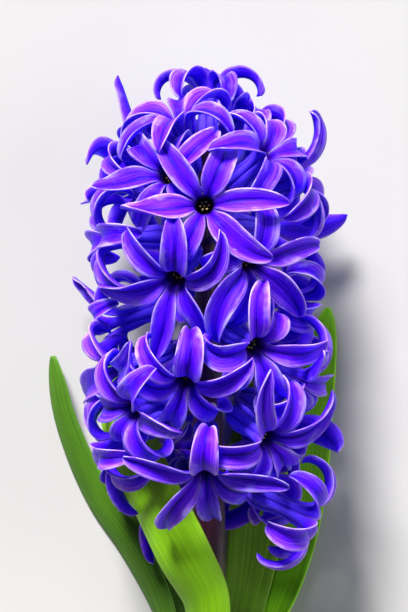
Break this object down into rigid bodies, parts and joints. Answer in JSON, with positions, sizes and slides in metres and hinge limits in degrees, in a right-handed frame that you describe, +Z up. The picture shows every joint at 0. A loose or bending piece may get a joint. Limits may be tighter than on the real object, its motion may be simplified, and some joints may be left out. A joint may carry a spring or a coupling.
{
  "type": "hyacinth flower",
  "caption": "Cut hyacinth lying on its side: a dense spike of curled, violet-blue tubular florets on a dark stem, with strap leaves clasping its cut end.",
  "frame": {"origin": "centre of the underside of the box round the whole flower, on the surface it lies on", "axes": "+Y up the flower spike from the cut end to the tip, +Z up from the surface towards the side that faces the viewer, +X to the right when +Y points up the page"},
  "size_m": [0.0798, 0.1738, 0.067],
  "materials": {
    "tepal_violet": "fleshy violet-blue flower tissue with a soft waxy sheen, paler at the edges and darker along each midrib",
    "scape_plum": "juicy flower stem, dark purple-brown turning green towards the cut",
    "leaf_green": "smooth glossy strap leaf with fine lengthwise veins"
  },
  "bodies": {
    "root": {"scape": "scape_plum", "leaf_front": "leaf_green", "leaf_left": "leaf_green", "leaf_left_back": "leaf_green", "leaf_back": "leaf_green", "leaf_right": "leaf_green", "floret_01": "tepal_violet", "floret_03": "tepal_violet", "floret_04": "tepal_violet", "floret_05": "tepal_violet", "floret_07": "tepal_violet", "floret_08": "tepal_violet", "floret_09": "tepal_violet", "floret_10": "tepal_violet", "floret_11": "tepal_violet", "floret_12": "tepal_violet", "floret_13": "tepal_violet", "floret_14": "tepal_violet", "floret_15": "tepal_violet", "floret_16": "tepal_violet", "floret_17": "tepal_violet", "floret_18": "tepal_violet", "floret_19": "tepal_violet", "floret_20": "tepal_violet", "floret_21": "tepal_violet", "floret_22": "tepal_violet", "floret_23": "tepal_violet", "floret_24": "tepal_violet", "floret_25": "tepal_violet", "floret_26": "tepal_violet", "floret_27": "tepal_violet", "floret_28": "tepal_violet", "floret_29": "tepal_violet", "floret_30": "tepal_violet", "floret_31": "tepal_violet", "floret_32": "tepal_violet", "floret_33": "tepal_violet", "floret_34": "tepal_violet"}
  },
  "joints": []
}
